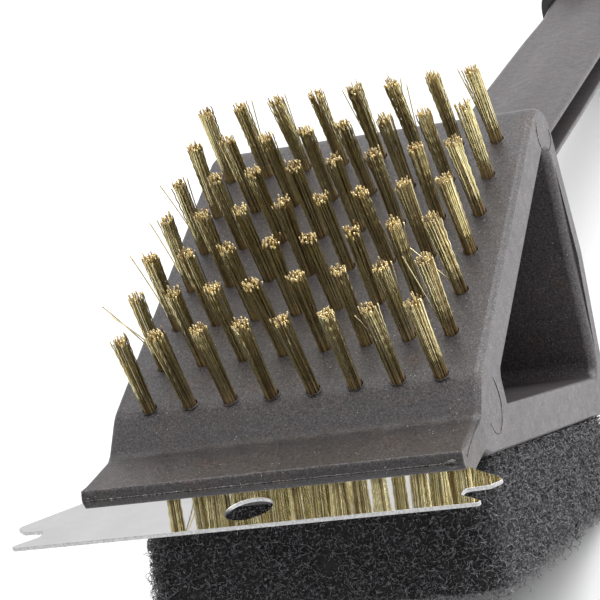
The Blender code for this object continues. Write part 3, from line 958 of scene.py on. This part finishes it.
def tuft_wires(rng, column, count):
    """Paths of one tuft's wires about its own axis: (wire, point, 3), with z along the tuft."""
    rank = np.arange(count) + 0.5
    out = np.sqrt(rank / count)
    angle = rank * GOLDEN_ANGLE + rng.uniform(0, ANY_HEADING)
    out = np.clip(out + rng.normal(0, 0.035, count), 0, 1)
    share = np.linspace(0, 1, WIRE_STEPS)
    height = -WIRE_SUNK + share[None, :] * (TUFT_LENGTH + WIRE_SUNK + rng.normal(0, 0.00042, count)[:, None])
    rise = np.clip(height / TUFT_LENGTH, 0, None)
    radius = (TUFT_BASE_R - WIRE_R) * (1 + (TUFT_TIP_R / TUFT_BASE_R - 1 + FLARE_MORE) * rise ** 1.3)
    spot = towards(angle) * out[:, None] * radius
    lean = rng.normal(0, 0.00028, 2)
    if column == 1:
        lean[0] += EDGE_LEAN
    spot += lean[:, None, None] * rise ** 1.4
    bow = rng.normal(0, 0.00017, (2, count))
    spot += bow[:, :, None] * rise ** 2
    wild = rng.random(count) < WILD
    away = np.where(wild, rng.uniform(0.0004, 0.0013, count), 0.0)
    heading = rng.uniform(0, ANY_HEADING, count)
    start = rng.uniform(0.35, 0.75, count)[:, None]
    past = np.clip((rise - start) / (1 - start), 0, None) ** 1.5
    spot += away[:, None] * towards(heading) * past
    wavelength = rng.uniform(0.0021, 0.0029)
    phase = rng.uniform(0, ANY_HEADING) + rng.normal(0, 0.6, count)
    swing = rng.uniform(0.00003, 0.00010, count)[:, None]
    crimp = swing * np.sin(2 * math.pi * height / wavelength + phase[:, None]) * np.clip(rise * 4, 0, 1)
    spot += crimp * towards(angle + rng.normal(0, 0.6, count))
    return np.stack([*spot, height], axis=2)


# Stray wires that have worked loose: (row, column, height where it leaves, reach in x, reach in y, rise).
STRAYS = (
    (2, 1, 0.0070, -0.0062, 0.0005, 0.0105),
    (2, 1, 0.0085, -0.0050, -0.0004, 0.0072),
    (3, 1, 0.0065, -0.0024, 0.0003, 0.0135),
    (4, 1, 0.0060, -0.0021, 0.0006, 0.0125),
    (5, 1, 0.0070, -0.0026, 0.0000, 0.0120),
    (7, 2, 0.0050, 0.0018, 0.0004, 0.0150),
    (7, 3, 0.0050, 0.0012, -0.0006, 0.0160),
    (7, 5, 0.0060, -0.0017, 0.0003, 0.0130),
    (7, 6, 0.0055, 0.0013, 0.0007, 0.0120),
    (7, 8, 0.0050, -0.0020, 0.0003, 0.0145),
    (3, 8, 0.0040, -0.0058, -0.0002, 0.0085),
    (2, 8, 0.0030, -0.0032, 0.0010, 0.0165),
    (2, 7, 0.0050, 0.0015, -0.0008, 0.0150),
    (1, 1, 0.0060, 0.0007, 0.0006, 0.0140),
    (3, 7, 0.0060, -0.0014, 0.0008, 0.0135),
)


def stray_path(leave, reach_x, reach_y, rise):
    """A wire up the tuft's edge that bends away from it where it leaves."""
    share = np.linspace(0, 1, WIRE_STEPS)
    first = leave / (leave + rise)
    past = np.clip((share - first) / (1 - first), 0, 1) ** 1.15
    height = -WIRE_SUNK + share * (leave + rise + WIRE_SUNK)
    edge = math.copysign(TUFT_BASE_R * 0.82, reach_x)
    return np.stack([edge + reach_x * past, reach_y * past, height], axis=1)


def build_tufts():
    basis = np.array((SIDEWAYS, PLATE_ALONG, TUFT_AXIS))
    for index, (name, row, column, foot) in enumerate(FEET):
        rng = np.random.default_rng(1000 + index)
        count = WIRES + int(rng.integers(-3, 4))
        paths = tuft_wires(rng, column, count)
        loose = [stray_path(*stray[2:]) for stray in STRAYS if stray[:2] == (row, column)]
        if loose:
            paths = np.concatenate([paths, np.array(loose)])
        placed = paths @ basis + np.array(foot + TUFT_SHIFT)
        radii = np.full(paths.shape[:2], WIRE_R) * rng.uniform(0.88, 1.08, len(paths))[:, None]
        points, polygons = tubes(placed, radii, WIRE_SIDES)
        tuft = object_from_arrays(name + "_wires", points, polygons)
        put(tuft, BRASS, "brass_wire", name)
        # Some wires get the darker brass as painted shade between wires.
        shaded_wires = (rng.random(len(paths)) < SHADED_WIRE_SHARE).astype(np.int32)
        sides = np.repeat(shaded_wires, (WIRE_STEPS - 1) * WIRE_SIDES)
        tuft.data.polygons.foreach_set("material_index", np.concatenate([sides, shaded_wires, shaded_wires]))


# ---------------- scouring pad

def pad_point(along, x, depth):
    """A point at a distance along the base plate, across it, and below it."""
    y = along * math.cos(BASE_SLOPE) - depth * math.sin(BASE_SLOPE)
    z = BASE_Z - along * math.sin(BASE_SLOPE) - depth * math.cos(BASE_SLOPE)
    return Vector((x, y, z))


def pad_depth(along):
    """The pad's thickness, which gets less towards the rear."""
    share = (along - PAD_START) / (PAD_END - PAD_START)
    return PAD_FRONT_T + (PAD_REAR_T - PAD_FRONT_T) * share


def pad_outline(inset):
    """The pad seen from below, as (distance along the base plate, across it)."""
    half = PAD_HALF - inset
    start = PAD_START + inset
    end = PAD_END - inset
    corners = ((start, -half), (end, -half), (end, half), (start, half))
    return rounded_outline([(u, v, PAD_CORNER_R - inset) for u, v in corners], 8)


PAD_UP = pad_point(0, 0, -1) - pad_point(0, 0, 0)
PAD_ALONG = (pad_point(1, 0, 0) - pad_point(0, 0, 0)).normalized()


def build_pad_core():
    """The dense middle of the pad, a little inside its fibres, lumpy like felted fibre, and darker than the
    fibres as painted shade in the gaps between them.
    """
    sunk = GAP + 0.0002
    lump_height = 0.0007
    outline = pad_outline(0.0008)
    rings = [
        [pad_point(u, v, sunk + (pad_depth(u) - 0.0010 - GAP) * share) for u, v in outline]
        for share in (0.0, 1.0)
    ]
    core = object_from("scouring_pad_core", loft(rings))
    remesh = core.modifiers.new("even", "REMESH")
    remesh.mode = "VOXEL"
    remesh.voxel_size = 0.0011
    apply_modifiers(core)
    mesh = core.data
    normals = [normal.vector.copy() for normal in mesh.vertex_normals]
    for vertex, normal in zip(mesh.vertices, normals):
        lump = noise.noise(vertex.co * 300) * 0.5 + noise.noise(vertex.co * 900) * 0.35
        if normal.dot(PAD_UP) > 0.8:
            lump = min(lump, 0.0)
        vertex.co += normal * lump * lump_height
    mesh.shade_smooth()
    put(core, PAD_CORE_PAINTED_SHADE, "pad_fibre", "scouring_pad")
    return core


def pad_surface(rng, count):
    """Random points on the pad's skin, on its sides or its underside: position, outward normal."""
    outline = pad_outline(0.0004)
    ends = outline[1:] + outline[:1]
    lengths = np.array([(b - a).length for a, b in zip(outline, ends)])
    total = lengths.cumsum()
    inset = 0.002
    sunk = 0.0003
    spots = []
    normals = []
    for _ in range(count):
        if rng.random() < FIBRES_ON_SIDES:
            index = int(np.searchsorted(total, rng.random() * total[-1]))
            a, b = outline[index], ends[index]
            u, v = a + (b - a) * rng.random()
            edge = (b - a).normalized()
            depth = GAP + (pad_depth(u) - GAP) * rng.random()
            spots.append(pad_point(u, v, depth))
            normals.append(PAD_ALONG * edge.y - SIDEWAYS * edge.x)
        else:
            u = rng.uniform(PAD_START + inset, PAD_END - inset)
            v = rng.uniform(-PAD_HALF + inset, PAD_HALF - inset)
            spots.append(pad_point(u, v, pad_depth(u) - sunk))
            normals.append(-PAD_UP.normalized())
    return np.array(spots), np.array(normals)


FIBRE_BATCHES = 9
FIBRES = 2400  # in each batch
FIBRES_ON_SIDES = 0.74  # share of them, the rest being on the underside
FIBRE_STEPS = 13
FIBRE_LOW = -0.0013  # how far a fibre may go into the skin, and out of it
FIBRE_HIGH = 0.0010
OFF_FLOOR = 0.00012  # fibres stay this far above what the brush lies on
UNDER_HEAD = 0.0002  # and this far below the base plate


def build_pad_fibres(batch):
    """Curly fibres matted over the pad's skin: each turns as it goes, and weaves in and out of the skin."""
    rng = np.random.default_rng(500 + batch)
    count = FIBRES
    spots, normals = pad_surface(rng, count)
    level = np.abs(normals @ np.array(PAD_UP))[:, None] < 0.8
    helper = np.where(level, np.array((0.0, 0.0, 1.0)), rng.normal(0, 1, spots.shape))
    first = np.cross(normals, helper)
    first /= np.linalg.norm(first, axis=1, keepdims=True)
    second = np.cross(normals, first)
    length = rng.uniform(0.0028, 0.0068, count)
    step = length / FIBRE_STEPS
    bend = rng.normal(0, 0.30, count)
    heading = rng.normal(0, 0.75, count) + math.pi * rng.integers(0, 2, count)
    rise = rng.uniform(-0.0011, 0.0004, count)
    lift = rng.normal(0, 0.00012, count)
    place = spots
    path = np.empty((count, FIBRE_STEPS, 3))
    height = rise
    swing = rng.uniform(0, ANY_HEADING, count)
    for k in range(FIBRE_STEPS):
        path[:, k] = place + normals * height[:, None]
        bend = bend * 0.80 + rng.normal(0, 0.24, count)
        heading = heading + bend
        place = place + (first * np.cos(heading)[:, None] + second * np.sin(heading)[:, None]) * step[:, None]
        height = rise + lift * k * 0.30 + 0.00045 * np.sin(swing + k * 0.9)
        height = np.clip(height, FIBRE_LOW, FIBRE_HIGH)
    radii = np.repeat(rng.uniform(0.000050, 0.000090, count)[:, None], FIBRE_STEPS, axis=1)
    radii[:, [0, -1]] *= 0.5
    floor_up = np.array(TOOL.to_3x3())[2]
    short = np.clip(OFF_FLOOR - TOOL.translation.z - path @ floor_up, 0, None)
    path = path + short[:, :, None] * floor_up
    head_up = np.array(PAD_UP)
    above = (path - np.array(pad_point(0, 0, UNDER_HEAD))) @ head_up
    path = path - np.clip(above, 0, None)[:, :, None] * head_up
    points, polygons = tubes(path, radii, 3)
    mat = object_from_arrays(f"scouring_pad_fibres_{batch}", points, polygons)
    # The fibres' pale patches are painted glints.
    return put(mat, PAD_FIBRE_PAINTED_GLINTS, "pad_fibre")


# ---------------- grip

def grip_ring(share, shrink):
    """The section at a share of the grip's length: a rounded oblong with finger hollows in its underside."""
    swell = math.sin(math.pi * share)
    half_width = GRIP_HALF_W + GRIP_SWELL_W * swell
    half_height = GRIP_HALF_H + GRIP_SWELL_H * swell
    along_fingers = min(1.0, max(0.0, (share - FINGERS_START) / FINGERS_SPAN))
    hollow = FINGER_DEPTH * (0.5 - 0.5 * math.cos(2 * math.pi * FINGERS * along_fingers))
    y = GRIP_FRONT_Y + GRIP_LENGTH * share
    ring = []
    for angle in circle(72):
        cosine = math.cos(angle)
        sine = math.sin(angle)
        x = math.copysign(abs(cosine) ** GRIP_SQUARENESS, cosine) * (half_width - shrink)
        z = math.copysign(abs(sine) ** GRIP_SQUARENESS, sine) * (half_height - shrink)
        if sine < 0:
            z += hollow * abs(sine)
        ring.append((x, y, z))
    return ring


def notch_cutter():
    """The slot between the grip's two cheeks, with its edges eased above, below and in front."""
    half_width = NECK_HALF + GAP
    top = GRIP_HALF_H + PAST
    steps = 16
    levels = [top * step / steps for step in range(-steps, steps + 1)]
    stations = [(GRIP_FRONT_Y + past, wider) for past, wider in NOTCH_LEAD_IN]
    stations.append((NECK_END_Y + GAP, 0.0))
    sections = []
    for y, wider in stations:
        side = [(half_width + wider + max(0.0, abs(z) - EASED_FROM_Z) ** 2 / EASE_R, z) for z in levels]
        sections.append([(x, y, z) for x, z in side] + [(-x, y, z) for x, z in reversed(side)])
    return loft(sections)


def hanging_hole_cutter():
    """The hanging hole, opened out at both faces of the grip."""
    y = GRIP_FRONT_Y + GRIP_LENGTH - HANG_HOLE_FROM_END
    steps = 24
    rings = []
    for step in range(-steps, steps + 1):
        z = (GRIP_HALF_H + PAST) * step / steps
        edge = max(0.0, abs(z) - (GRIP_HALF_H - 0.0012))
        radius = HANG_HOLE_R + min(edge, 0.0022) * 0.55
        rings.append([(radius * math.cos(angle), y + radius * math.sin(angle), z) for angle in circle(48)])
    return loft(rings)


def build_grip():
    rings = []
    end_steps = 12
    steps = 110
    for step in range(end_steps):
        share = step / end_steps
        rings.append(grip_ring(GRIP_BODY * share, FRONT_ROUND * (1 - share) ** 1.8))
    rings += [grip_ring(GRIP_BODY + (GRIP_TAIL - GRIP_BODY) * step / steps, 0) for step in range(steps + 1)]
    for step in range(1, end_steps + 1):
        turn = math.pi / 2 * step / end_steps
        share = GRIP_TAIL + (1 - GRIP_TAIL) * math.sin(turn)
        rings.append(grip_ring(share, TAIL_ROUND * (1 - math.cos(turn)) ** 1.25))
    grip = object_from("grip_looks", loft(rings), angle=50)
    boolean(grip, object_from("notch", notch_cutter()), "DIFFERENCE")
    pocket = box_loft(TANG_HALF_W + GAP, TANG_HALF_H + GAP, NECK_END_Y - PAST, TANG_END_Y + GAP)
    boolean(grip, object_from("pocket", pocket), "DIFFERENCE")
    boolean(grip, object_from("hole", hanging_hole_cutter()), "DIFFERENCE")
    finish_hard(grip, angle=40)
    return put(grip, GRIP_PLASTIC, "grip_plastic", "grip")


# ---------------- studio

def build_floor():
    half_side = 4.0
    below_object = 0.0001
    bm = bmesh.new()
    bm.faces.new([bm.verts.new((x * half_side, y * half_side, -below_object)) for x, y in SQUARE])
    floor = object_from("floor", bm)
    floor.data.materials.append(pale_floor())


def build_world():
    """White light from all round, strongest from above and a little behind the head."""
    world = bpy.data.worlds.new("studio")
    bpy.context.scene.world = world
    world.use_nodes = True
    tree = world.node_tree
    background = tree.nodes["Background"]
    background.inputs["Color"].default_value = (1.0, 1.0, 1.0, 1)
    direction = tree.nodes.new("ShaderNodeTexCoord").outputs["Generated"]
    dot = tree.nodes.new("ShaderNodeVectorMath")
    dot.operation = "DOT_PRODUCT"
    dot.inputs[1].default_value = Vector((0.15, 0.35, 0.92)).normalized()
    tree.links.new(direction, dot.inputs[0])
    spread = tree.nodes.new("ShaderNodeMapRange")
    for name, value in (("From Min", -0.3), ("From Max", 0.85), ("To Min", 0.38), ("To Max", 1.18)):
        spread.inputs[name].default_value = value
    tree.links.new(dot.outputs["Value"], spread.inputs["Value"])
    tree.links.new(spread.outputs["Result"], background.inputs["Strength"])


def build_panel(name, place, size, power):
    """A soft light aimed at the head."""
    light = bpy.data.lights.new(name, "AREA")
    light.shape = "RECTANGLE"
    light.size, light.size_y = size
    light.energy = power
    lamp = link(name, light)
    lamp.location = place
    lamp.rotation_euler = (Vector((0.0, -0.15, 0.05)) - Vector(place)).to_track_quat("-Z", "Y").to_euler()


def build_camera():
    """The camera's place and its right, up and forward directions, in the tool frame."""
    right = Vector((0.92663, 0.28984, -0.2395)).normalized()
    up = Vector((0.12255, 0.36936, 0.92117)).normalized()
    ahead = Vector((-0.35545, 0.88293, -0.30674)).normalized()
    pose = Matrix((right, up, -ahead)).transposed().to_4x4()
    pose.translation = Vector((0.18186, -0.43563, 0.17987))
    data = bpy.data.cameras.new("camera")
    data.sensor_width = 36
    data.lens = 150.4
    data.clip_start = 0.02
    data.clip_end = 20
    camera = link("camera", data)
    camera.matrix_world = TOOL @ pose
    bpy.context.scene.camera = camera


build_head()
build_hole_burrs()
build_mould_marks()
build_scraper()
build_tufts()
build_pad_core()
for batch in range(FIBRE_BATCHES):
    build_pad_fibres(batch)
build_grip()
build_floor()
build_world()
build_panel("overhead", (0.25, 0.35, 1.30), (1.3, 1.0), 13.0)
build_panel("right_back", (1.20, 0.70, 0.60), (0.9, 0.9), 12.0)
build_camera()
bpy.context.scene.view_settings.view_transform = "Standard"
